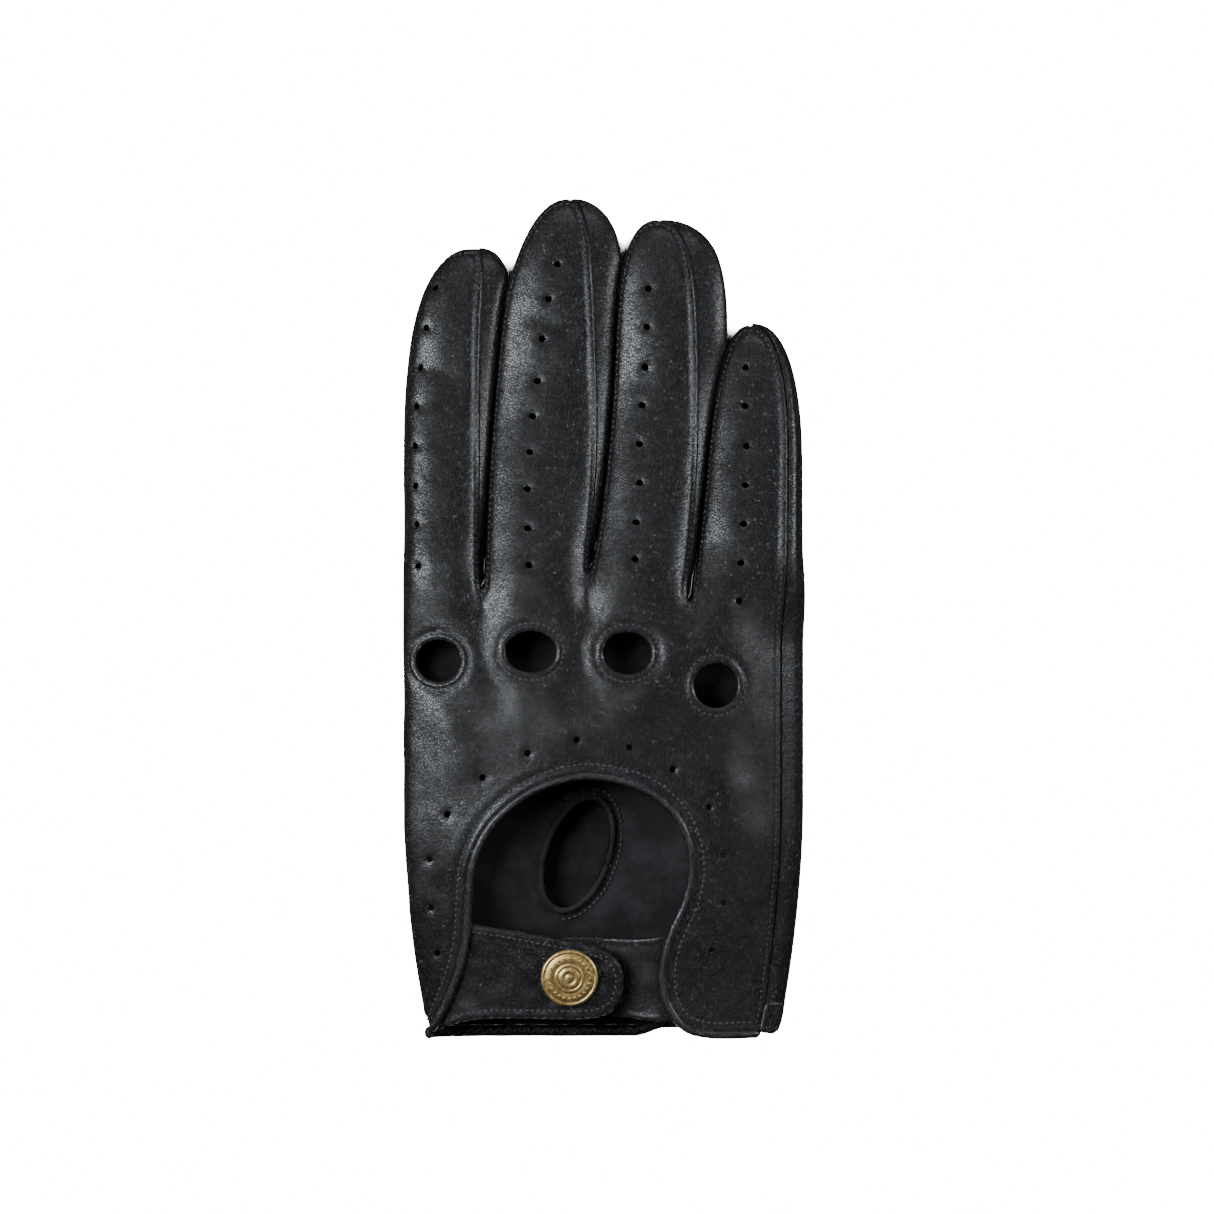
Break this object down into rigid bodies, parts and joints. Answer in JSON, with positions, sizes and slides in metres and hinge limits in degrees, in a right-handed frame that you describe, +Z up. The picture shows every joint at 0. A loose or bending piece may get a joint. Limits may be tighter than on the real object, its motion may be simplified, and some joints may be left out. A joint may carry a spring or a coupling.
{
  "type": "leather driving glove",
  "caption": "Short unlined leather driving glove lying palm down, with knuckle holes, a bound keyhole opening on the back, a press-stud wrist strap and the thumb folded under the palm.",
  "frame": {"origin": "middle of the bounding box, on the surface that the glove lies on", "axes": "+Z up out of the back of the hand, +Y towards the fingertips, +X towards the little finger"},
  "size_m": [0.1046, 0.2216, 0.026],
  "materials": {
    "leather": "fine-grain black hair-sheep leather, soft sheen",
    "lining": "black leather, flesh side, matt",
    "brass": "antique brass, worn satin",
    "steel": "plated spring steel",
    "elastic": "black woven elastic tape"
  },
  "bodies": {
    "hand": {"back_panel": "leather", "palm_panel": "leather", "outer_side_strip": "leather", "side_strip_tab": "leather", "keyhole_binding": "leather", "cuff_hem": "leather", "knuckle_facing_index": "lining", "knuckle_facing_middle": "lining", "knuckle_facing_ring": "lining", "knuckle_facing_little": "lining", "web_index_middle": "leather", "web_middle_ring": "leather", "web_ring_little": "leather", "wrist_elastic": "elastic", "snap_stud": "steel", "snap_post": "steel", "underlap": "leather"},
    "strap": {"strap_face": "leather", "strap_lining": "lining", "snap_cap": "brass", "snap_socket": "steel"},
    "thumb": {"thumb_front": "leather", "thumb_back": "leather"},
    "index_lower": {"index_lower_back": "leather", "index_lower_palm": "leather", "index_lower_right_fourchette": "leather"},
    "index_upper": {"index_upper_back": "leather", "index_upper_palm": "leather", "index_upper_right_fourchette": "leather"},
    "middle_lower": {"middle_lower_back": "leather", "middle_lower_palm": "leather", "middle_lower_right_fourchette": "leather", "middle_lower_left_fourchette": "leather"},
    "middle_upper": {"middle_upper_back": "leather", "middle_upper_palm": "leather", "middle_upper_right_fourchette": "leather", "middle_upper_left_fourchette": "leather"},
    "ring_lower": {"ring_lower_back": "leather", "ring_lower_palm": "leather", "ring_lower_right_fourchette": "leather", "ring_lower_left_fourchette": "leather"},
    "ring_upper": {"ring_upper_back": "leather", "ring_upper_palm": "leather", "ring_upper_right_fourchette": "leather", "ring_upper_left_fourchette": "leather"},
    "little_lower": {"little_lower_back": "leather", "little_lower_palm": "leather", "little_lower_side_strip": "leather", "little_lower_left_fourchette": "leather"},
    "little_upper": {"little_upper_back": "leather", "little_upper_palm": "leather", "little_upper_side_strip": "leather", "little_upper_left_fourchette": "leather"}
  },
  "joints": [
    {"name": "strap_open", "type": "hinge", "parent": "hand", "child": "strap", "pos_m": [-0.04031, -0.10382, 0.0148], "axis": [-0.2699, -0.9411, -0.2037], "range_deg": [0, 80]},
    {"name": "thumb_swing", "type": "hinge", "parent": "hand", "child": "thumb", "pos_m": [-0.02188, -0.06514, 0.00372], "axis": [-0.0872, 0.9962, 0], "range_deg": [0, 175]},
    {"name": "index_knuckle", "type": "hinge", "parent": "hand", "child": "index_lower", "pos_m": [-0.04308, 0.00946, 0.00744], "axis": [-1, 0, 0], "range_deg": [0, 85]},
    {"name": "index_joint", "type": "hinge", "parent": "index_lower", "child": "index_upper", "pos_m": [-0.0424, 0.04586, 0.00184], "axis": [-1, 0, 0], "range_deg": [0, 95]},
    {"name": "middle_knuckle", "type": "hinge", "parent": "hand", "child": "middle_lower", "pos_m": [-0.0185, 0.01446, 0.00695], "axis": [-1, 0, 0], "range_deg": [0, 85]},
    {"name": "middle_joint", "type": "hinge", "parent": "middle_lower", "child": "middle_upper", "pos_m": [-0.01537, 0.05286, 0.00076], "axis": [-1, 0, 0], "range_deg": [0, 95]},
    {"name": "ring_knuckle", "type": "hinge", "parent": "hand", "child": "ring_lower", "pos_m": [0.00916, 0.01446, 0.00695], "axis": [-1, 0, 0], "range_deg": [0, 85]},
    {"name": "ring_joint", "type": "hinge", "parent": "ring_lower", "child": "ring_upper", "pos_m": [0.01333, 0.05086, 0.00104], "axis": [-1, 0, 0], "range_deg": [0, 95]},
    {"name": "little_knuckle", "type": "hinge", "parent": "hand", "child": "little_lower", "pos_m": [0.03723, 0.00606, 0.00649], "axis": [-1, 0, 0], "range_deg": [0, 85]},
    {"name": "little_joint", "type": "hinge", "parent": "little_lower", "child": "little_upper", "pos_m": [0.03899, 0.03586, 0.00278], "axis": [-1, 0, 0], "range_deg": [0, 95]}
  ]
}
